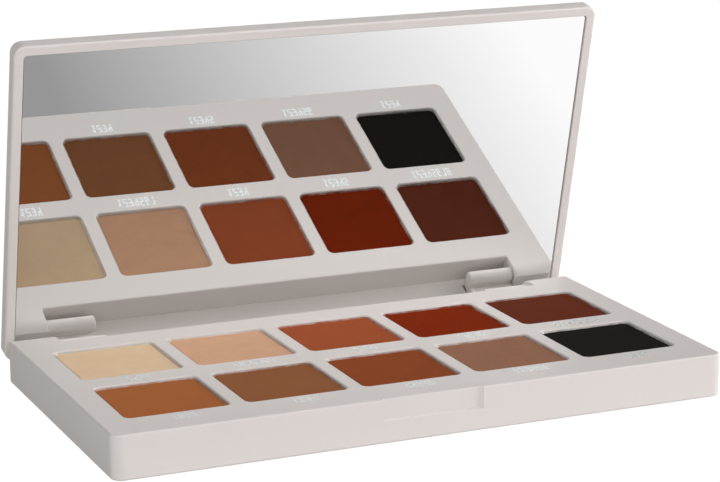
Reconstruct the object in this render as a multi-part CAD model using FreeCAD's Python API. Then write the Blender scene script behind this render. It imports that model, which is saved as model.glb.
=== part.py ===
import FreeCAD, Part

import math
import os

# Eyeshadow palette: a slim case with ten square powder pans and a mirrored lid on two hinge knuckles.
# Millimetres. Origin at the centre of the underside, +Z up, -Y is the front edge, X runs along the hinge.
# The lid is drawn closed, then turned about the hinge axis to its resting open position.

WIDTH = 151.0
DEPTH = 82.5
DECK_Z = 10.45
LID_THICKNESS = 4.4
SEAM_GAP = 0.1
PLAN_RADIUS = 2.6
OPEN_ANGLE = 76.3

# Hinge: the axis lies near the rear wall, at the mid height of the case.
HINGE_Y = 38.4
HINGE_Z = 5.65
PIN_RADIUS = 0.8
PIN_CLEARANCE = 0.06
BOSS_RADIUS = 1.5
BAR_RADIUS = 1.85
BAR_OFFSET = 2.0
WEB_SETBACK = 0.2
KNUCKLE_INNER_X = 51.4
KNUCKLE_OUTER_X = 63.5
KNUCKLE_END_ROUND = 0.4
BORE_INNER_X = 52.4
PIN_INNER_X = 52.9
PIN_OUTER_X = 72.5

# Case moulding.
CASE_WALL = 2.2
RIM_WALL = 1.4
DECK_SKIN = 1.5
CASE_EDGE = 0.45
CASE_FOOT_EDGE = 0.7
COVER_THICKNESS = 1.5
COVER_CLEARANCE = 0.1
NOTCH_HALF_WIDTH = 63.8
NOTCH_FRONT_Y = 34.25
NOTCH_FLOOR_Z = 3.95
POCKET_FRONT_Y = 36.7
POCKET_FLOOR_Z = 1.7
POCKET_SIDE_GAP = 0.4
NOTCH_WALL = 1.4
NOTCH_EDGE = 0.35
NOTCH_CORNER = 0.5
REAR_ROUND_Y = 38.0
REAR_ROUND_RADIUS = 4.7
THUMB_HALF_WIDTH = 12.2
THUMB_DEPTH = 0.6
THUMB_BOTTOM_Z = 5.55
THUMB_DRAFT = 0.3
THUMB_CORNER = 0.25

# Wells, pans and powder.
COLUMNS = 5
COLUMN_PITCH = 28.3
ROW_CENTRES = {"front": -18.1, "rear": 13.3}
WELL_SIDE = 24.7
WELL_RADIUS = 1.9
WELL_FLOOR_Z = 6.15
WELL_EDGE = 0.2
TUB_WALL = 1.0
PAN_SIDE = 24.4
PAN_RADIUS = 1.75
PAN_RIM_Z = 10.1
PAN_METAL = 0.3
GLUE_SIDE = 16.0
GLUE_THICKNESS = 0.12
POWDER_TOP_Z = 9.9

# Lid and mirror.
LID_RIM = 2.3
LID_REAR_RIM = 2.65
LID_EDGE = 0.5
LID_BACK_EDGE = 1.0
LID_TAIL_EDGE = 3.2
MIRROR_SINK = 0.6
MIRROR_THICKNESS = 1.2
MIRROR_GAP = 0.3
MIRROR_RADIUS = 0.6
TAPE_THICKNESS = 0.2
TAPE_MARGIN = 3.0

# Closing magnets, in pairs that face each other when the lid is shut.
MAGNET_RADIUS = 3.0
MAGNET_X = 40.0
MAGNET_FRONT_INSET = 5.4
CASE_MAGNET_THICKNESS = 2.0
LID_MAGNET_THICKNESS = 1.2
MAGNET_BOSS_WALL = 1.0

HALF_W = WIDTH / 2.0
FRONT_Y = -DEPTH / 2.0
REAR_Y = DEPTH / 2.0
LID_RIM_Z = DECK_Z + SEAM_GAP
LID_TOP_Z = LID_RIM_Z + LID_THICKNESS
MIRROR_FACE_Z = LID_RIM_Z + MIRROR_SINK
TAPE_Z = MIRROR_FACE_Z + MIRROR_THICKNESS
LID_FLOOR_Z = TAPE_Z + TAPE_THICKNESS
MAGNET_Y = FRONT_Y + MAGNET_FRONT_INSET
MIRROR_REAR_Y = REAR_Y - LID_REAR_RIM
UNDER_DECK_Z = DECK_Z - DECK_SKIN

POWDER_NAMES = {
    "front": ["caramel", "mid_brown", "cedar", "taupe", "black"],
    "rear": ["cream", "peach", "terracotta", "burnt_orange", "burgundy"],
}


def box(x0, x1, y0, y1, z0, z1):
    return Part.makeBox(x1 - x0, y1 - y0, z1 - z0, FreeCAD.Vector(x0, y0, z0))


def upright_edges(shape):
    """Edges that run straight up, such as a block's corners."""
    found = []
    for edge in shape.Edges:
        first, last = edge.Vertexes[0].Point, edge.Vertexes[-1].Point
        if abs(first.x - last.x) < 1e-6 and abs(first.y - last.y) < 1e-6:
            found.append(edge)
    return found


def edges_at_height(shape, z):
    return [edge for edge in shape.Edges if all(abs(v.Z - z) < 1e-6 for v in edge.Vertexes)]


def rounded_box(x0, x1, y0, y1, z0, z1, radius):
    block = box(x0, x1, y0, y1, z0, z1)
    return block.makeFillet(radius, upright_edges(block))


def square_block(x, y, side, z0, z1, radius):
    half = side / 2.0
    return rounded_box(x - half, x + half, y - half, y + half, z0, z1, radius)


def rod(x0, x1, y, z, radius):
    """A round bar along X."""
    return Part.makeCylinder(radius, x1 - x0, FreeCAD.Vector(x0, y, z), FreeCAD.Vector(1, 0, 0))


def disc(x, y, z, radius, thickness):
    return Part.makeCylinder(radius, thickness, FreeCAD.Vector(x, y, z))


def mirrored(shape):
    """The same shape on the other side of the middle plane."""
    return shape.mirror(FreeCAD.Vector(0, 0, 0), FreeCAD.Vector(1, 0, 0))


def both_sides(shape):
    return [shape, mirrored(shape)]


def well_centres():
    """Every well as (row name, column number, x, y), column 0 at the left."""
    centres = []
    for row, y in ROW_CENTRES.items():
        for column in range(COLUMNS):
            centres.append((row, column, (column - (COLUMNS - 1) / 2.0) * COLUMN_PITCH, y))
    return centres


def case_outline():
    block = rounded_box(-HALF_W, HALF_W, FRONT_Y, REAR_Y, 0, DECK_Z, PLAN_RADIUS)
    block = block.makeFillet(CASE_FOOT_EDGE, edges_at_height(block, 0))
    block = block.makeFillet(CASE_EDGE, edges_at_height(block, DECK_Z))
    centre_z = DECK_Z - REAR_ROUND_RADIUS
    corner = box(-HALF_W - 1, HALF_W + 1, REAR_ROUND_Y, REAR_Y + 1, centre_z, DECK_Z + 1)
    corner = corner.cut(rod(-HALF_W - 2, HALF_W + 2, REAR_ROUND_Y, centre_z, REAR_ROUND_RADIUS))
    return block.cut(corner)


def case_hollow():
    """The space under the deck, open below, with a ledge that the bottom cover rests against."""
    back = NOTCH_FRONT_Y - NOTCH_WALL
    inside = rounded_box(
        -HALF_W + CASE_WALL, HALF_W - CASE_WALL, FRONT_Y + CASE_WALL, back,
        COVER_THICKNESS - 0.01, UNDER_DECK_Z, PLAN_RADIUS - 1.0)
    mouth = rounded_box(
        -HALF_W + RIM_WALL, HALF_W - RIM_WALL, FRONT_Y + RIM_WALL, back,
        -1, COVER_THICKNESS, PLAN_RADIUS - 1.0)
    return inside.fuse(mouth)


def notch_block(x0, x1, y0, z0):
    """One box of the notch, open at the rear, with its two front corners rounded in plan."""
    block = box(x0, x1, y0, REAR_Y + 1, z0, DECK_Z + 1)
    corners = [edge for edge in upright_edges(block) if abs(edge.CenterOfMass.y - y0) < 1e-6]
    return block.makeFillet(NOTCH_CORNER, corners)


def hinge_notch():
    """The gap in the rear of the deck, deeper behind the pins where the two webs turn."""
    middle = notch_block(-NOTCH_HALF_WIDTH, NOTCH_HALF_WIDTH, NOTCH_FRONT_Y, NOTCH_FLOOR_Z)
    pocket = box(KNUCKLE_INNER_X - POCKET_SIDE_GAP, NOTCH_HALF_WIDTH, POCKET_FRONT_Y, REAR_Y + 1,
                 POCKET_FLOOR_Z, DECK_Z + 1)
    return middle.multiFuse(both_sides(pocket))


def soften_notch(case):
    """Rounds the deck's edge along the front and the ends of the notch."""
    limit = NOTCH_HALF_WIDTH + 1e-6
    rim = [edge for edge in edges_at_height(case, DECK_Z)
           if all(abs(v.X) < limit and v.Y > NOTCH_FRONT_Y - 1e-6 for v in edge.Vertexes)
           and edge.CenterOfMass.y < REAR_ROUND_Y - 1e-3]
    return case.makeFillet(NOTCH_EDGE, rim)


def well_tubs():
    """The tub under each well, which hangs from the deck."""
    tubs = []
    for _, _, x, y in well_centres():
        side = WELL_SIDE + 2 * TUB_WALL
        tubs.append(square_block(x, y, side, WELL_FLOOR_Z - TUB_WALL, DECK_Z - 0.5, WELL_RADIUS + TUB_WALL))
    return tubs


def well_spaces():
    spaces = []
    for _, _, x, y in well_centres():
        well = square_block(x, y, WELL_SIDE, WELL_FLOOR_Z, DECK_Z, WELL_RADIUS)
        lip = square_block(x, y, WELL_SIDE + 2 * WELL_EDGE, DECK_Z - WELL_EDGE, DECK_Z + 1, WELL_RADIUS)
        lip = lip.makeChamfer(WELL_EDGE - 0.001, edges_at_height(lip, DECK_Z - WELL_EDGE))
        spaces.append(well)
        spaces.append(lip)
    return spaces


def thumb_recess():
    """A shallow scoop in the front wall, open at the deck, with sloped sides and a soft inner corner."""
    lead = 0.5
    spread = THUMB_DRAFT * (1 + lead / THUMB_DEPTH)
    outer = THUMB_HALF_WIDTH + spread
    scoop = Part.makeWedge(
        -outer, FRONT_Y - lead, THUMB_BOTTOM_Z - spread, THUMB_BOTTOM_Z, -THUMB_HALF_WIDTH,
        outer, FRONT_Y + THUMB_DEPTH, DECK_Z + 1, DECK_Z + 1, THUMB_HALF_WIDTH)
    inner = [edge for edge in scoop.Edges
             if all(abs(v.Y - FRONT_Y - THUMB_DEPTH) < 1e-6 for v in edge.Vertexes)
             and min(v.Z for v in edge.Vertexes) < DECK_Z]
    return scoop.makeFillet(THUMB_CORNER, inner)


def make_base_case():
    case = case_outline().cut(case_hollow())
    boss = disc(MAGNET_X, MAGNET_Y, UNDER_DECK_Z - CASE_MAGNET_THICKNESS,
                MAGNET_RADIUS + MAGNET_BOSS_WALL, CASE_MAGNET_THICKNESS + 0.5)
    boss = boss.common(box(0, HALF_W, FRONT_Y + 1, 0, 0, DECK_Z - 0.2))
    case = case.multiFuse(well_tubs() + both_sides(boss))
    case = soften_notch(case.cut(hinge_notch()).removeSplitter())
    for space in well_spaces():
        case = case.cut(space)
    magnet = disc(MAGNET_X, MAGNET_Y, UNDER_DECK_Z - CASE_MAGNET_THICKNESS - 1,
                  MAGNET_RADIUS, CASE_MAGNET_THICKNESS + 1)
    pin_hole = rod(NOTCH_HALF_WIDTH - 1, PIN_OUTER_X, HINGE_Y, HINGE_Z, PIN_RADIUS)
    for space in both_sides(magnet) + both_sides(pin_hole) + [thumb_recess()]:
        case = case.cut(space)
    return case.removeSplitter()


def make_bottom_cover():
    gap = RIM_WALL + COVER_CLEARANCE
    plate = rounded_box(
        -HALF_W + gap, HALF_W - gap, FRONT_Y + gap, NOTCH_FRONT_Y - NOTCH_WALL - COVER_CLEARANCE,
        0, COVER_THICKNESS, PLAN_RADIUS - 1.1)
    return plate


def make_pan(x, y):
    """A pressed metal pan with a rolled rim edge."""
    bottom = WELL_FLOOR_Z + GLUE_THICKNESS
    outside = square_block(x, y, PAN_SIDE, bottom, PAN_RIM_Z, PAN_RADIUS)
    outside = outside.makeFillet(0.6, edges_at_height(outside, bottom))
    inside = square_block(x, y, PAN_SIDE - 2 * PAN_METAL, bottom + PAN_METAL, PAN_RIM_Z + 1,
                          PAN_RADIUS - PAN_METAL)
    return outside.cut(inside)


def make_powder(x, y):
    """Pressed powder that fills the pan, with a softened top edge."""
    bottom = WELL_FLOOR_Z + GLUE_THICKNESS + PAN_METAL
    cake = square_block(x, y, PAN_SIDE - 2 * PAN_METAL, bottom, POWDER_TOP_Z, PAN_RADIUS - PAN_METAL)
    return cake.makeFillet(0.25, edges_at_height(cake, POWDER_TOP_Z))


def make_glue_pads():
    pads = []
    for _, _, x, y in well_centres():
        pads.append(square_block(x, y, GLUE_SIDE, WELL_FLOOR_Z, WELL_FLOOR_Z + GLUE_THICKNESS, 1.0))
    return Part.makeCompound(pads)


def make_case_magnet(side):
    return disc(side * MAGNET_X, MAGNET_Y, UNDER_DECK_Z - CASE_MAGNET_THICKNESS,
                MAGNET_RADIUS, CASE_MAGNET_THICKNESS)


def make_hinge_pin(side):
    pin = rod(PIN_INNER_X, PIN_OUTER_X, HINGE_Y, HINGE_Z, PIN_RADIUS)
    pin = pin.makeChamfer(0.2, [edge for edge in pin.Edges if edge.Curve.TypeId == "Part::GeomCircle"])
    return pin if side > 0 else mirrored(pin)


def knuckle():
    """One hinge knuckle, closed: a boss about the pin, a round bar beside it and a web up to the rim."""
    lean = math.radians(90 + OPEN_ANGLE)
    bar_y = HINGE_Y + BAR_OFFSET * math.cos(lean)
    bar_z = HINGE_Z + BAR_OFFSET * math.sin(lean)
    boss = rod(KNUCKLE_INNER_X, KNUCKLE_OUTER_X, HINGE_Y, HINGE_Z, BOSS_RADIUS)
    bar = rod(KNUCKLE_INNER_X, KNUCKLE_OUTER_X, bar_y, bar_z, BAR_RADIUS)
    inner_rim = [edge for edge in bar.Edges if all(abs(v.X - KNUCKLE_INNER_X) < 1e-6 for v in edge.Vertexes)]
    bar = bar.makeFillet(KNUCKLE_END_ROUND, inner_rim)
    web = box(KNUCKLE_INNER_X, KNUCKLE_OUTER_X, HINGE_Y + WEB_SETBACK, REAR_Y, HINGE_Z, LID_RIM_Z + 1.0)
    return boss.multiFuse([bar, web]).removeSplitter()


def lid_outline():
    block = rounded_box(-HALF_W, HALF_W, FRONT_Y, REAR_Y, LID_RIM_Z, LID_TOP_Z, PLAN_RADIUS)
    block = block.makeFillet(LID_BACK_EDGE, edges_at_height(block, LID_TOP_Z))
    return block.makeFillet(LID_EDGE, edges_at_height(block, LID_RIM_Z))


def tail_relief():
    """Rounds the lid's rear end, so that it swings down past the case's rear wall."""
    centre_y = REAR_Y - LID_TAIL_EDGE
    centre_z = LID_TOP_Z - LID_TAIL_EDGE
    corner = box(-HALF_W - 1, HALF_W + 1, centre_y, REAR_Y + 1, centre_z, LID_TOP_Z + 1)
    return corner.cut(rod(-HALF_W - 2, HALF_W + 2, centre_y, centre_z, LID_TAIL_EDGE))


def opened(shape):
    """Turns a piece of the closed lid to the resting open position."""
    turned = shape.copy()
    turned.rotate(FreeCAD.Vector(0, HINGE_Y, HINGE_Z), FreeCAD.Vector(1, 0, 0), -OPEN_ANGLE)
    return turned


def make_lid_shell():
    shell = lid_outline().cut(tail_relief())
    shell = shell.multiFuse(both_sides(knuckle()))
    recess = rounded_box(
        -HALF_W + LID_RIM, HALF_W - LID_RIM, FRONT_Y + LID_RIM, MIRROR_REAR_Y,
        LID_RIM_Z - 1, LID_FLOOR_Z, MIRROR_RADIUS + MIRROR_GAP)
    pocket = disc(MAGNET_X, MAGNET_Y, LID_FLOOR_Z - 0.5, MAGNET_RADIUS, LID_MAGNET_THICKNESS + 0.5)
    bore = rod(BORE_INNER_X, KNUCKLE_OUTER_X + 1, HINGE_Y, HINGE_Z, PIN_RADIUS + PIN_CLEARANCE)
    for space in [recess] + both_sides(pocket) + both_sides(bore):
        shell = shell.cut(space)
    return shell.removeSplitter()


def mirror_plate(margin, z0, z1, radius):
    return rounded_box(
        -HALF_W + LID_RIM + margin, HALF_W - LID_RIM - margin,
        FRONT_Y + LID_RIM + margin, MIRROR_REAR_Y - margin, z0, z1, radius)


def make_mirror():
    return mirror_plate(MIRROR_GAP, MIRROR_FACE_Z, TAPE_Z, MIRROR_RADIUS)


def make_mirror_tape():
    return mirror_plate(TAPE_MARGIN, TAPE_Z, LID_FLOOR_Z, MIRROR_RADIUS)


def make_lid_magnet(side):
    return disc(side * MAGNET_X, MAGNET_Y, LID_FLOOR_Z, MAGNET_RADIUS, LID_MAGNET_THICKNESS)


def export(name, shape):
    shape.exportStep("parts/%s.step" % name)
    size = shape.optimalBoundingBox()
    print("%-22s solids %d valid %s volume %9.1f  x %7.2f %7.2f  y %7.2f %7.2f  z %7.2f %7.2f" % (
        name, len(shape.Solids), shape.isValid(), shape.Volume,
        size.XMin, size.XMax, size.YMin, size.YMax, size.ZMin, size.ZMax))


def main():
    os.makedirs("parts", exist_ok=True)
    export("base_case", make_base_case())
    export("bottom_cover", make_bottom_cover())
    export("pan_glue_pads", make_glue_pads())
    for row, column, x, y in well_centres():
        export("pan_%s_%d" % (row, column + 1), make_pan(x, y))
        export("powder_%s" % POWDER_NAMES[row][column], make_powder(x, y))
    for side, word in ((-1, "left"), (1, "right")):
        export("hinge_pin_%s" % word, make_hinge_pin(side))
        export("case_magnet_%s" % word, make_case_magnet(side))
        export("lid_magnet_%s" % word, opened(make_lid_magnet(side)))
    export("lid_shell", opened(make_lid_shell()))
    export("mirror", opened(make_mirror()))
    export("mirror_tape", opened(make_mirror_tape()))


main()
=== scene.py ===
import math
from collections import namedtuple

import bpy
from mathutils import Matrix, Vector, noise


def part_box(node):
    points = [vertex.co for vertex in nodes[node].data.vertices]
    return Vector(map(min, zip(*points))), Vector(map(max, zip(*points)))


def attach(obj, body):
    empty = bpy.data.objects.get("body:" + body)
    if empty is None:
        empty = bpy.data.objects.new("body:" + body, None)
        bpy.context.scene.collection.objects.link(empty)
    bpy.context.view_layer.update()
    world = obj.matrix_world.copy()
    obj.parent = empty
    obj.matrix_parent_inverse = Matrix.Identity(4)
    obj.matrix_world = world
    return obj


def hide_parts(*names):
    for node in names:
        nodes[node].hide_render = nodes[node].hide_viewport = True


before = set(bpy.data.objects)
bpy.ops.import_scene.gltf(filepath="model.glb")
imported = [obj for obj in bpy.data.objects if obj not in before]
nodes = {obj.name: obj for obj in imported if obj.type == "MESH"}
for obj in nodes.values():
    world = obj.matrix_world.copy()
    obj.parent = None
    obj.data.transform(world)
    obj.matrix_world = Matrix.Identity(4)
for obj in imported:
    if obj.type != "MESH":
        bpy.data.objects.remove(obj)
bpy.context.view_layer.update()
MM = 0.001

# ---------------------------------------------------------------- driving values
# The camera stands in front and to the left, and looks a little down on the open palette.
CAMERA_PLACE = (-0.23153, -0.54111, 0.18143)
CAMERA_TURN = (76.243, -0.048, -24.706)
CAMERA_LENS = 128.02
CAMERA_SHIFT = (-0.09494, -0.00560)
SENSOR_WIDTH = 36.0
CLIP_START = 0.01

# One row for each powder: its pan, its matt linear colour, how much of the pan's wall its dust
# covers and how crumbled its edge is, both from 0 to 1, and the number printed for it.
Shade = namedtuple("Shade", "pan colour dust wear digits")
SHADES = {
    "powder_caramel": Shade("pan_front_1", (0.378, 0.126, 0.041), 0.50, 0.35, "1234"),
    "powder_mid_brown": Shade("pan_front_2", (0.280, 0.107, 0.044), 0.62, 0.30, "1234"),
    "powder_cedar": Shade("pan_front_3", (0.270, 0.066, 0.021), 0.60, 0.45, "12345"),
    "powder_taupe": Shade("pan_front_4", (0.308, 0.150, 0.093), 0.58, 0.40, "123456"),
    "powder_black": Shade("pan_front_5", (0.014, 0.011, 0.009), 0.25, 1.00, "1234"),
    "powder_cream": Shade("pan_rear_1", (0.714, 0.534, 0.353), 0.30, 0.20, "1234"),
    "powder_peach": Shade("pan_rear_2", (0.645, 0.385, 0.245), 0.25, 0.30, "1234567"),
    "powder_terracotta": Shade("pan_rear_3", (0.357, 0.084, 0.030), 0.66, 0.55, "1234"),
    "powder_burnt_orange": Shade("pan_rear_4", (0.218, 0.021, 0.002), 0.74, 0.60, "12345"),
    "powder_burgundy": Shade("pan_rear_5", (0.132, 0.029, 0.013), 0.66, 0.50, "12345678"),
}
SEED_STEP = 11.3

# Drawn metal pan: its wall, corners, rolled rim and rounded foot.
PAN_WALL = 0.3 * MM
PAN_CORNER = 1.75 * MM
PAN_BEAD = 0.09 * MM
PAN_FOOT = 0.5 * MM
PAN_NECK = 0.03 * MM
PAN_STEP_IN = 0.02 * MM
# How far below the rim the wall's bends lie, in bead radii.
NECK_LOW = 4
NECK_HIGH = 2.2
LIP_LOW = 3
STEP_LOW = 8

# Pressed powder cake. Depths in from its edge are counted in shoulder widths.
CAKE_GAP = 0.31 * MM
CAKE_CORNER = 1.45 * MM
CAKE_SINK = 0.03 * MM
SHOULDER = 0.14 * MM
SHOULDER_END = 1.3
SHOULDER_LOW = 2.2
CRUMBLE_END = 3.2
EDGE_DEPTHS = (0.0, 0.08, 0.25, 0.5, 0.85, SHOULDER_END, 2.0, CRUMBLE_END, 5.0)
INNER_RINGS = 22

# Relief of the powder's top: how high it is, and how many waves it has to the metre.
SWELL_HEIGHT = 0.045 * MM
SWELL_WAVES = 90
GRAIN_HEIGHT = 0.010 * MM
WORN_GRAIN_HEIGHT = 0.012 * MM
GRAIN_WAVES = 520
GRAIN_FALL = 0.8
GRAIN_LACUNARITY = 2.0
GRAIN_OCTAVES = 3
# Crumbling of a fully worn edge: an even loss, and losses that come and go along it.
EVEN_LOSS = 0.06 * MM
COARSE_LOSS = 0.26 * MM
COARSE_WAVES = 420
FINE_LOSS = 0.07 * MM
FINE_WAVES = 1900
CRUMBLE_DROP = 0.35
# The kinds of relief take their noise from different layers.
GRAIN_LAYER = 7
COARSE_LAYER = 3
FINE_LAYER = 5

# Points round a pan: in each corner's quarter circle and along each straight side.
ARC_STEPS = 8
SIDE_STEPS = 22
CAKE_SIDE_STEPS = 3 * SIDE_STEPS
FOOT_STEPS = 4
BEAD_STEPS = 6

# Each digit is drawn on a grid of 3 cells across and 5 down, from the top.
DIGITS = {
    "1": ("010", "110", "010", "010", "111"),
    "2": ("111", "001", "111", "100", "111"),
    "3": ("111", "001", "111", "001", "111"),
    "4": ("101", "101", "111", "001", "001"),
    "5": ("111", "100", "111", "001", "111"),
    "6": ("111", "100", "111", "101", "111"),
    "7": ("111", "001", "001", "001", "001"),
    "8": ("111", "101", "111", "101", "111"),
}
DIGIT_COLUMNS = (0.0, 0.40 * MM, 0.72 * MM, 1.12 * MM)
DIGIT_ROWS = (3.30 * MM, 2.80 * MM, 1.90 * MM, 1.40 * MM, 0.50 * MM, 0.0)
DIGIT_PITCH = 1.48 * MM
LABEL_GAP = 1.4 * MM
LABEL_TOP = 0.02 * MM
LABEL_THICKNESS = 0.018 * MM
WELL_MARGIN = 0.15 * MM
DECK_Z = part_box("base_case")[1].z

# Studio: sheets below the object, softboxes round it and an even sky.
SHEET_SIZE = 12.0
FLOOR_Z = -0.02 * MM
BACKDROP_Z = -0.1 * MM
# Painted reflection: the card's glow runs from grey at CARD_GREY_X to white at CARD_WHITE_X and
# stands in for shade on the floor as the mirror shows it. It lights nothing.
CARD_Z = -0.5 * MM
CARD_GREY = 0.328
CARD_WHITE = 1.032
CARD_GREY_X = -0.032
CARD_WHITE_X = 0.118
SKY_STRENGTH = 0.13
NEUTRAL = (1.0, 1.0, 1.0)
BLUSH = (1.0, 0.86, 0.83)
SOFTBOX_AIM = (0.0, 0.0, 0.03)
# One row for each softbox: its name, place, width and height in metres, power in watts and colour.
SOFTBOXES = [
    ("softbox_front", (0.25, -1.1, 0.75), (1.2, 0.8), 3.4, NEUTRAL),
    ("softbox_left", (-0.9, -0.9, 0.7), (0.8, 0.8), 8.0, NEUTRAL),
    ("softbox_right", (1.1, -0.2, 0.6), (0.8, 0.8), 9.7, NEUTRAL),
    ("softbox_low", (1.1, -0.5, 0.25), (0.8, 0.4), 2.8, BLUSH),
]


# ---------------------------------------------------------------- node helpers
# Sockets of a Mix node that mixes colours.
MIX_FACTOR = 0
MIX_FIRST = 6
MIX_SECOND = 7
MIX_RESULT = 2


class Shader:
    """A material's node tree, with short calls for adding and linking nodes."""

    def __init__(self, name):
        self.material = bpy.data.materials.new(name)
        self.material.use_nodes = True
        self.tree = self.material.node_tree
        self.tree.nodes.clear()
        self.output = self.add("ShaderNodeOutputMaterial")

    def add(self, kind, **values):
        node = self.tree.nodes.new(kind)
        for key, value in values.items():
            setattr(node, key, value)
        return node

    def link(self, source, target):
        self.tree.links.new(source, target)

    def principled(self, **sockets):
        """The surface shader, with plain values set on its own sockets."""
        node = self.add("ShaderNodeBsdfPrincipled")
        for key, value in sockets.items():
            node.inputs[key.replace("_", " ")].default_value = value
        self.link(node.outputs[0], self.output.inputs["Surface"])
        return node

    def feed(self, node, **sockets):
        """Links varying values to a node's named sockets."""
        for key, value in sockets.items():
            self.link(value, node.inputs[key.replace("_", " ")])

    def coordinates(self):
        return self.add("ShaderNodeTexCoord").outputs["Object"]

    def stretched(self, scale):
        """Object coordinates with their own scale along each axis."""
        node = self.add("ShaderNodeMapping")
        node.inputs["Scale"].default_value = scale
        self.link(self.coordinates(), node.inputs["Vector"])
        return node.outputs["Vector"]

    def noise(self, scale, detail=4.0, roughness=0.55, source=None):
        """Noise from 0 to 1, with about scale spots to each unit of its coordinates."""
        node = self.add("ShaderNodeTexNoise")
        node.inputs["Scale"].default_value = scale
        node.inputs["Detail"].default_value = detail
        node.inputs["Roughness"].default_value = roughness
        self.link(source or self.coordinates(), node.inputs["Vector"])
        return node.outputs["Fac"]

    def spread(self, value, low, high, source_low=0.3, source_high=0.7):
        """Takes source_low to source_high onto low to high, and holds the ends."""
        node = self.add("ShaderNodeMapRange")
        node.inputs["From Min"].default_value = source_low
        node.inputs["From Max"].default_value = source_high
        node.inputs["To Min"].default_value = low
        node.inputs["To Max"].default_value = high
        self.link(value, node.inputs["Value"])
        return node.outputs["Result"]

    def ramp(self, value, stops):
        """Colour that runs through the stops, each a place from 0 to 1 and a colour."""
        node = self.add("ShaderNodeValToRGB")
        ramp = node.color_ramp
        while len(ramp.elements) < len(stops):
            ramp.elements.new(0.5)
        for element, (place, colour) in zip(ramp.elements, stops):
            element.position = place
            element.color = (*colour, 1.0)
        self.link(value, node.inputs["Fac"])
        return node.outputs["Color"]

    def two_tone(self, value, first, second, low=0.3, high=0.7):
        """Colour that runs from first to second as the value goes from low to high."""
        return self.ramp(value, [(low, first), (high, second)])

    def mix(self, factor, first, second, blend="MIX"):
        """Mix of two colours, each a plain colour or a socket, by a plain factor or a socket."""
        node = self.add("ShaderNodeMix", data_type="RGBA", blend_type=blend)
        for value, socket in ((factor, MIX_FACTOR), (first, MIX_FIRST), (second, MIX_SECOND)):
            if isinstance(value, bpy.types.NodeSocket):
                self.link(value, node.inputs[socket])
            elif socket == MIX_FACTOR:
                node.inputs[socket].default_value = value
            else:
                node.inputs[socket].default_value = (*value, 1.0)
        return node.outputs[MIX_RESULT]

    def bump(self, value, strength, distance, normal=None):
        """Relief of a height in metres, laid over another relief where one is given."""
        node = self.add("ShaderNodeBump")
        node.inputs["Strength"].default_value = strength
        node.inputs["Distance"].default_value = distance
        self.link(value, node.inputs["Height"])
        if normal is not None:
            self.link(normal, node.inputs["Normal"])
        return node.outputs["Normal"]


def scaled(colour, factor):
    return tuple(min(1.0, c * factor) for c in colour)


def grey(value):
    return (value, value, value)


# ---------------------------------------------------------------- materials
def case_plastic():
    """Warm pale grey moulded plastic with a satin surface and a very fine grain."""
    s = Shader("case_plastic")
    body = s.principled(Specular_IOR_Level=0.5, IOR=1.5)
    colour = (0.768, 0.724, 0.700)
    cloud = s.two_tone(s.noise(28.0, 3.0), scaled(colour, 0.985), scaled(colour, 1.012))
    wave = s.bump(s.noise(160.0, 2.0), 0.10, 0.04 * MM)
    grain = s.bump(s.noise(5200.0, 2.0), 0.22, 0.02 * MM, wave)
    s.feed(body, Base_Color=cloud, Roughness=s.spread(s.noise(90.0), 0.40, 0.50), Normal=grain)
    return s.material


def pan_metal(name, powder, dust):
    """Drawn aluminium: fine lines round the wall, with a film of its own powder on it."""
    s = Shader(name)
    body = s.principled(Specular_IOR_Level=0.3)
    lines = s.noise(1.0, 2.0, 0.5, s.stretched((60.0, 60.0, 9000.0)))
    metal = s.two_tone(lines, (0.52, 0.50, 0.48), (0.76, 0.74, 0.72))
    film = s.spread(s.noise(260.0, 4.0, 0.6), dust - 0.22, dust + 0.22, 0.40, 0.60)
    shine = s.spread(film, 0.95, 0.05, 0.1, 0.9)
    roughness = s.spread(film, 0.30, 0.85, 0.1, 0.9)
    s.feed(body, Base_Color=s.mix(film, metal, powder), Metallic=shine, Roughness=roughness)
    s.feed(body, Normal=s.bump(lines, 0.15, 0.02 * MM))
    return s.material


def pressed_powder(name, colour):
    """Matt pressed powder: fine grains and soft clouds."""
    s = Shader(name)
    body = s.principled(Roughness=0.95, Specular_IOR_Level=0.04, Diffuse_Roughness=1.0)
    tones = [(0.30, scaled(colour, 0.96)), (0.50, colour), (0.72, scaled(colour, 1.04))]
    clouds = s.ramp(s.noise(160.0, 5.0, 0.6), tones)
    grains = s.noise(9000.0, 3.0, 0.7)
    speckle = s.two_tone(grains, grey(0.86), grey(1.10))
    soft = s.bump(s.noise(900.0, 4.0, 0.6), 0.35, 0.06 * MM)
    s.feed(body, Base_Color=s.mix(1.0, clouds, speckle, "MULTIPLY"))
    s.feed(body, Normal=s.bump(grains, 0.5, 0.04 * MM, soft))
    return s.material


def mirror_glass():
    """Silvered glass with a very faint smear."""
    s = Shader("mirror")
    body = s.principled(Metallic=1.0)
    silver = s.two_tone(s.noise(35.0, 3.0), (0.925, 0.930, 0.925), (0.935, 0.938, 0.935))
    s.feed(body, Base_Color=silver, Roughness=s.spread(s.noise(60.0), 0.0, 0.008))
    return s.material


def tape_foam():
    """White double-sided foam tape."""
    s = Shader("tape")
    body = s.principled(Specular_IOR_Level=0.3)
    voronoi = s.add("ShaderNodeTexVoronoi")
    voronoi.inputs["Scale"].default_value = 2500.0
    s.feed(voronoi, Vector=s.coordinates())
    cells = voronoi.outputs["Distance"]
    foam = s.two_tone(cells, (0.66, 0.65, 0.62), (0.80, 0.79, 0.76), 0.0, 0.6)
    s.feed(body, Base_Color=foam, Roughness=s.spread(s.noise(200.0), 0.75, 0.95))
    s.feed(body, Normal=s.bump(cells, 0.4, 0.05 * MM))
    return s.material


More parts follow.
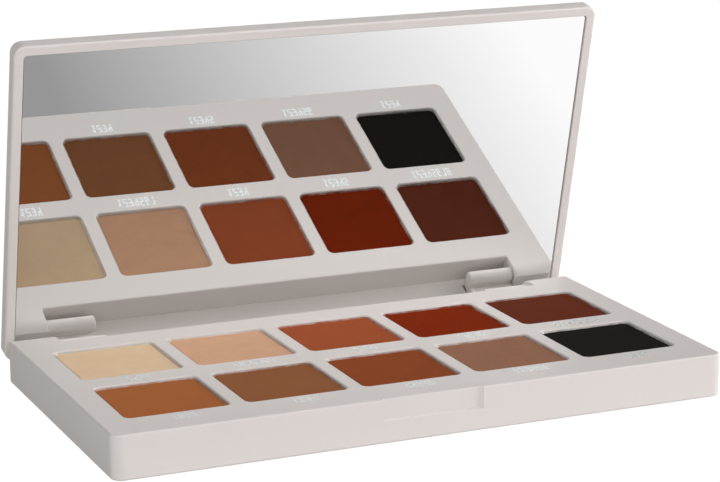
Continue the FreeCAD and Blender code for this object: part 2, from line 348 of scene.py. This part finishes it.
def hot_glue():
    """Milky amber adhesive pads."""
    s = Shader("glue")
    body = s.principled(Specular_IOR_Level=0.5)
    amber = s.two_tone(s.noise(300.0), (0.62, 0.55, 0.38), (0.74, 0.68, 0.50))
    s.feed(body, Base_Color=amber, Roughness=s.spread(s.noise(500.0), 0.25, 0.5))
    s.feed(body, Normal=s.bump(s.noise(400.0), 0.5, 0.08 * MM))
    return s.material


def bright_metal(name, colour, stretch, smooth, rough):
    """Turned or plated metal, with scratches that follow the stretch along each axis."""
    s = Shader(name)
    body = s.principled(Metallic=1.0)
    scratches = s.noise(1.0, 3.0, 0.6, s.stretched(stretch))
    tone = s.two_tone(scratches, scaled(colour, 0.85), colour)
    s.feed(body, Base_Color=tone, Roughness=s.spread(scratches, smooth, rough))
    s.feed(body, Normal=s.bump(scratches, 0.2, 0.02 * MM))
    return s.material


def label_foil():
    """Thin cool foil of the printed numbers."""
    s = Shader("label_foil")
    body = s.principled(Metallic=0.30, Specular_IOR_Level=0.5)
    tone = s.two_tone(s.noise(900.0, 3.0), (0.86, 0.93, 0.93), (0.93, 0.98, 0.98))
    s.feed(body, Base_Color=tone, Roughness=s.spread(s.noise(1200.0), 0.24, 0.32))
    return s.material


def floor_paper():
    """Plain white studio paper that gives back the light falling on it."""
    s = Shader("floor_paper")
    body = s.principled(Roughness=0.9, Specular_IOR_Level=0.0)
    s.feed(body, Base_Color=s.two_tone(s.noise(6.0), grey(0.89), grey(0.90)))
    return s.material


def backdrop_white():
    """Evenly lit white backdrop, bright enough to lose its edge."""
    s = Shader("backdrop_white")
    body = s.principled(Roughness=1.0, Specular_IOR_Level=0.0, Emission_Strength=1.02)
    body.inputs["Emission Color"].default_value = (*NEUTRAL, 1.0)
    s.feed(body, Base_Color=s.two_tone(s.noise(6.0), grey(0.19), grey(0.20)))
    return s.material


def painted_reflection_card():
    """Glowing card, grey on the left and white on the right: a painted reflection of shade on the
    floor, seen only by gloss and the mirror.
    """
    s = Shader("painted_reflection_card")
    glow = s.add("ShaderNodeEmission")
    axes = s.add("ShaderNodeSeparateXYZ")
    s.feed(axes, Vector=s.coordinates())
    strength = s.spread(axes.outputs["X"], CARD_GREY, CARD_WHITE, CARD_GREY_X, CARD_WHITE_X)
    s.feed(glow, Strength=strength)
    s.link(glow.outputs[0], s.output.inputs["Surface"])
    return s.material


# ---------------------------------------------------------------- mesh helpers
def add_object(name, points, faces, material):
    """A mesh object in the scene, from points and faces."""
    mesh = bpy.data.meshes.new(name)
    mesh.from_pydata(points, [], faces)
    mesh.materials.append(material)
    piece = bpy.data.objects.new(name, mesh)
    bpy.context.scene.collection.objects.link(piece)
    return piece


def smooth_piece(name, rings, material):
    """A smooth closed loft that rides on the base and takes its finish from a material slot."""
    piece = add_object(name, *loft(rings), material)
    piece.data.validate()
    piece.data.update()
    piece.data.polygons.foreach_set("use_smooth", [True] * len(piece.data.polygons))
    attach(piece, "base")
    return piece


def rounded_square(side, radius, side_steps):
    """Points round a square with round corners, centred on the origin, anticlockwise."""
    reach = side / 2 - radius
    outline = []
    for corner in range(4):
        start = corner * math.pi / 2
        centre_x = reach * (1 if corner in (0, 3) else -1)
        centre_y = reach * (1 if corner in (0, 1) else -1)
        for step in range(ARC_STEPS + 1):
            angle = start + step * math.pi / 2 / ARC_STEPS
            outline.append((centre_x + radius * math.cos(angle), centre_y + radius * math.sin(angle)))
        along = (-math.sin(start + math.pi / 2), math.cos(start + math.pi / 2))
        from_x, from_y = outline[-1]
        for step in range(1, side_steps):
            move = step * 2 * reach / side_steps
            outline.append((from_x + along[0] * move, from_y + along[1] * move))
    return outline


def loft(rings):
    """Faces between rings of equal length, each ring a list of points, with a cap at each end."""
    count = len(rings[0])
    points = [point for ring in rings for point in ring]
    faces = []
    for row in range(len(rings) - 1):
        below = row * count
        above = below + count
        for i in range(count):
            j = (i + 1) % count
            faces.append((below + i, below + j, above + j, above + i))
    faces.append(tuple(range(count - 1, -1, -1)))
    last = (len(rings) - 1) * count
    faces.append(tuple(range(last, last + count)))
    return points, faces


# ---------------------------------------------------------------- pans and powders
def pan_place(pan):
    """A pan's centre and side, and the heights of its floor and rim."""
    low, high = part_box(pan)
    centre = (low + high) / 2
    return centre.x, centre.y, high.x - low.x, low.z, high.z


def pan_profile(floor_z, rim_z):
    """Section of a pan's wall from the floor's underside, over the rim and back down to the floor."""
    profile = [(PAN_FOOT, floor_z)]
    for step in range(1, FOOT_STEPS + 1):
        angle = step * math.pi / 2 / FOOT_STEPS
        inset = PAN_FOOT - PAN_FOOT * math.sin(angle)
        profile.append((inset, floor_z + PAN_FOOT - PAN_FOOT * math.cos(angle)))
    profile.append((PAN_NECK, rim_z - NECK_LOW * PAN_BEAD))
    profile.append((PAN_NECK, rim_z - NECK_HIGH * PAN_BEAD))
    for step in range(BEAD_STEPS + 1):
        angle = math.pi + step * math.pi / BEAD_STEPS
        inset = PAN_BEAD + PAN_BEAD * math.cos(angle)
        profile.append((inset, rim_z - PAN_BEAD - PAN_BEAD * math.sin(angle)))
    profile.append((PAN_WALL, rim_z - LIP_LOW * PAN_BEAD))
    profile.append((PAN_WALL + PAN_STEP_IN, rim_z - STEP_LOW * PAN_BEAD))
    profile.append((PAN_WALL + PAN_STEP_IN, floor_z + PAN_FOOT + PAN_WALL))
    profile.append((PAN_FOOT + PAN_WALL, floor_z + PAN_WALL))
    return profile


def make_pan(shade):
    """Drawn metal tray: a rolled rim, an upright wall and a small round at the floor."""
    pan = shade.pan
    x, y, side, floor_z, rim_z = pan_place(pan)
    rings = []
    for inset, z in pan_profile(floor_z, rim_z):
        outline = rounded_square(side - 2 * inset, PAN_CORNER - inset, SIDE_STEPS)
        rings.append([(x + px, y + py, z) for px, py in outline])
    metal = pan_metal("metal_" + pan, shade.colour, shade.dust)
    piece = smooth_piece(pan + "_drawn", rings, metal)
    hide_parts(pan)


def waves(x, y, scale, layer):
    """Place in the noise, with scale waves to the metre."""
    return Vector((x * scale, y * scale, layer))


def swell(x, y, seed, wear):
    """Small unevenness of the pressed surface."""
    broad = noise.noise(waves(x, y, SWELL_WAVES, seed))
    place = waves(x, y, GRAIN_WAVES, seed + GRAIN_LAYER)
    fine = noise.fractal(place, GRAIN_FALL, GRAIN_LACUNARITY, GRAIN_OCTAVES)
    return SWELL_HEIGHT * broad + (GRAIN_HEIGHT + WORN_GRAIN_HEIGHT * wear) * fine


def crumbled(x, y, seed, wear):
    """How far the powder's top edge has crumbled inwards at a point."""
    coarse = noise.noise(waves(x, y, COARSE_WAVES, seed + COARSE_LAYER))
    fine = noise.noise(waves(x, y, FINE_WAVES, seed + FINE_LAYER))
    return wear * max(0.0, EVEN_LOSS + COARSE_LOSS * coarse + FINE_LOSS * fine)


def make_powder(name, shade, seed):
    """Pressed cake that fills its pan, with an uneven top and a crumbled edge."""
    x, y, side, _, _ = pan_place(shade.pan)
    low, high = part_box(name)
    cake = side - 2 * CAKE_GAP
    half = cake / 2
    top = high.z - CAKE_SINK
    wall_z = top - SHOULDER_LOW * SHOULDER
    outline = rounded_square(cake, CAKE_CORNER, CAKE_SIDE_STEPS)
    rings = [[(x + px, y + py, z) for px, py in outline] for z in (low.z, wall_z)]
    for depth in EDGE_DEPTHS:
        drop = SHOULDER * max(0.0, 1 - depth / SHOULDER_END) ** 2
        factor = 1 - depth * SHOULDER / half
        ring = []
        for px, py in outline:
            crumble = crumbled(px, py, seed, shade.wear) * max(0.0, 1 - depth / CRUMBLE_END)
            shrink = 1 - crumble / half
            qx, qy = px * factor * shrink, py * factor * shrink
            z = top - drop + swell(qx, qy, seed, shade.wear) - CRUMBLE_DROP * crumble
            ring.append((x + qx, y + qy, min(z, high.z)))
        rings.append(ring)
    inner = 1 - EDGE_DEPTHS[-1] * SHOULDER / half
    for row in range(1, INNER_RINGS):
        factor = inner * (1 - row / INNER_RINGS)
        ring = []
        for px, py in outline:
            qx, qy = px * factor, py * factor
            ring.append((x + qx, y + qy, min(top + swell(qx, qy, seed, shade.wear), high.z)))
        rings.append(ring)
    piece = smooth_piece(name + "_pressed", rings, pressed_powder(name, shade.colour))
    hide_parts(name)


# ---------------------------------------------------------------- printed numbers
def make_label(shade, foil):
    """Foil number printed on the deck in front of a pan."""
    x, y, side, _, _ = pan_place(shade.pan)
    bottom = y - side / 2 - WELL_MARGIN - LABEL_GAP - DIGIT_ROWS[0]
    left = x - (DIGIT_PITCH * (len(shade.digits) - 1) + DIGIT_COLUMNS[-1]) / 2
    points = []
    numbers = {}
    faces = []

    def corner(place, column, row):
        """Number of the point at a grid corner, which neighbouring cells share."""
        key = (place, column, row)
        if key not in numbers:
            numbers[key] = len(points)
            point_x = left + place * DIGIT_PITCH + DIGIT_COLUMNS[column]
            points.append((point_x, bottom + DIGIT_ROWS[row], DECK_Z + LABEL_TOP))
        return numbers[key]

    for place, digit in enumerate(shade.digits):
        for row, cells in enumerate(DIGITS[digit]):
            for column, cell in enumerate(cells):
                if cell == "1":
                    low = [corner(place, column, row + 1), corner(place, column + 1, row + 1)]
                    high = [corner(place, column + 1, row), corner(place, column, row)]
                    faces.append(low + high)
    piece = add_object("label_" + shade.pan, points, faces, foil)
    solid = piece.modifiers.new("foil", "SOLIDIFY")
    solid.thickness = LABEL_THICKNESS
    solid.offset = -1.0
    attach(piece, "base")


# ---------------------------------------------------------------- studio
def sheet(name, z, material):
    """Level sheet of the set, which isn't part of the object."""
    half = SHEET_SIZE / 2
    points = [(-half, -half, z), (half, -half, z), (half, half, z), (-half, half, z)]
    piece = add_object(name, points, [(0, 1, 2, 3)], material)
    return piece


def make_sheets():
    """A floor that takes shadows, a backdrop that the camera sees and a card with a painted shade
    ramp that only gloss sees.
    """
    floor = sheet("floor", FLOOR_Z, floor_paper())
    backdrop = sheet("backdrop", BACKDROP_Z, backdrop_white())
    # This card is a painted reflection of floor shade, and only gloss and the mirror see it.
    card = sheet("painted_reflection_card", CARD_Z, painted_reflection_card())
    for hidden in (floor, card):
        hidden.visible_camera = False
    for hidden in (floor, backdrop):
        hidden.visible_glossy = False
    for unlit in (backdrop, card):
        unlit.visible_diffuse = False
        unlit.visible_shadow = False


def softbox(name, place, size, power, colour):
    """Soft rectangular light that points at the object."""
    light = bpy.data.lights.new(name, "AREA")
    light.shape = "RECTANGLE"
    light.size, light.size_y = size
    light.energy = power
    light.color = colour
    lamp = bpy.data.objects.new(name, light)
    lamp.location = place
    lamp.rotation_euler = (Vector(SOFTBOX_AIM) - Vector(place)).to_track_quat("-Z", "Y").to_euler()
    bpy.context.scene.collection.objects.link(lamp)


def make_sky():
    """Even white light from all round."""
    world = bpy.data.worlds.new("studio")
    world.use_nodes = True
    background = world.node_tree.nodes["Background"]
    background.inputs["Color"].default_value = (*NEUTRAL, 1.0)
    background.inputs["Strength"].default_value = SKY_STRENGTH
    bpy.context.scene.world = world


def make_camera():
    """Long lens from the front left."""
    data = bpy.data.cameras.new("camera")
    data.lens = CAMERA_LENS
    data.sensor_width = SENSOR_WIDTH
    data.shift_x, data.shift_y = CAMERA_SHIFT
    data.clip_start = CLIP_START
    camera = bpy.data.objects.new("camera", data)
    camera.location = CAMERA_PLACE
    camera.rotation_euler = [math.radians(angle) for angle in CAMERA_TURN]
    bpy.context.scene.collection.objects.link(camera)
    bpy.context.scene.camera = camera


# ---------------------------------------------------------------- building the scene
plastic = case_plastic()
steel = bright_metal("pin_steel", (0.62, 0.62, 0.61), (40.0, 2500.0, 2500.0), 0.2, 0.4)
nickel = bright_metal("magnet_nickel", (0.72, 0.70, 0.66), (1500.0, 1500.0, 1500.0), 0.15, 0.3)
FINISHES = {
    "base_case": plastic,
    "bottom_cover": plastic,
    "lid_shell": plastic,
    "mirror": mirror_glass(),
    "mirror_tape": tape_foam(),
    "pan_glue_pads": hot_glue(),
    "hinge_pin_left": steel,
    "hinge_pin_right": steel,
    "case_magnet_left": nickel,
    "case_magnet_right": nickel,
    "lid_magnet_left": nickel,
    "lid_magnet_right": nickel,
}
for node, material in FINISHES.items():
    node_mesh = nodes[node].data
    node_mesh.materials.clear()
    node_mesh.materials.append(material)

for index, (powder, shade) in enumerate(SHADES.items()):
    make_pan(shade)
    make_powder(powder, shade, index * SEED_STEP)

label_material = label_foil()
for shade in SHADES.values():
    make_label(shade, label_material)

make_sheets()
for row in SOFTBOXES:
    softbox(*row)
make_sky()
make_camera()
bpy.context.scene.view_settings.view_transform = "Standard"
